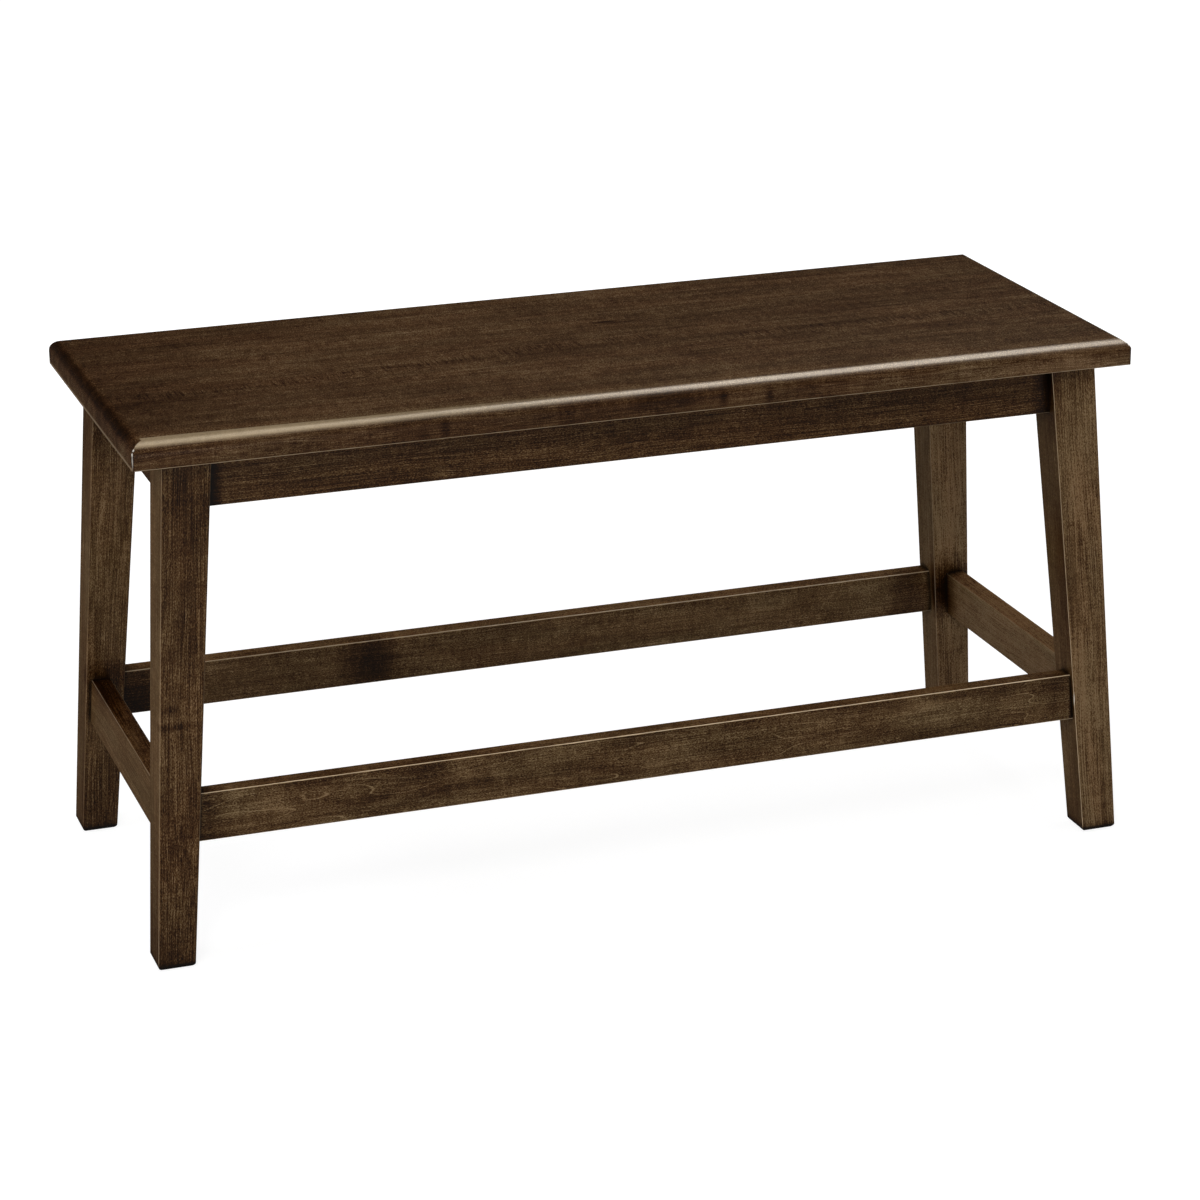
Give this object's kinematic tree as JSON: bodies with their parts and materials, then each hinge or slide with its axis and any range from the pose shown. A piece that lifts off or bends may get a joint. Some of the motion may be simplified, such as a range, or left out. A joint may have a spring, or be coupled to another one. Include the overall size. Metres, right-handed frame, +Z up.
{
  "type": "counter height bench",
  "caption": "Backless wooden bench at counter height: a slab seat with rounded edges on splayed, tapered legs, with aprons under the seat and a low ring of stretchers as a footrest.",
  "frame": {"origin": "on the floor under the middle of the seat", "axes": "+X along the bench, +Y towards its back, +Z up"},
  "size_m": [1.1774, 0.4626, 0.61],
  "materials": {
    "seat_wood": "dark brown stain under a satin lacquer",
    "frame_wood": "dark brown stain under a satin lacquer",
    "block_wood": "dark brown stain, unpolished",
    "steel": "yellow zinc plated"
  },
  "bodies": {
    "root": {"seat_board_1": "seat_wood", "seat_board_2": "seat_wood", "seat_board_3": "seat_wood", "seat_board_4": "seat_wood", "leg_front_left": "frame_wood", "leg_front_right": "frame_wood", "leg_back_left": "frame_wood", "leg_back_right": "frame_wood", "apron_front": "frame_wood", "apron_back": "frame_wood", "apron_left": "frame_wood", "apron_right": "frame_wood", "stretcher_front": "frame_wood", "stretcher_back": "frame_wood", "stretcher_left": "frame_wood", "stretcher_right": "frame_wood", "corner_block_front_left": "block_wood", "corner_block_front_right": "block_wood", "corner_block_back_left": "block_wood", "corner_block_back_right": "block_wood", "corner_block_screws": "steel", "seat_screws": "steel", "seat_clips": "steel", "seat_clip_screws": "steel"}
  },
  "joints": []
}
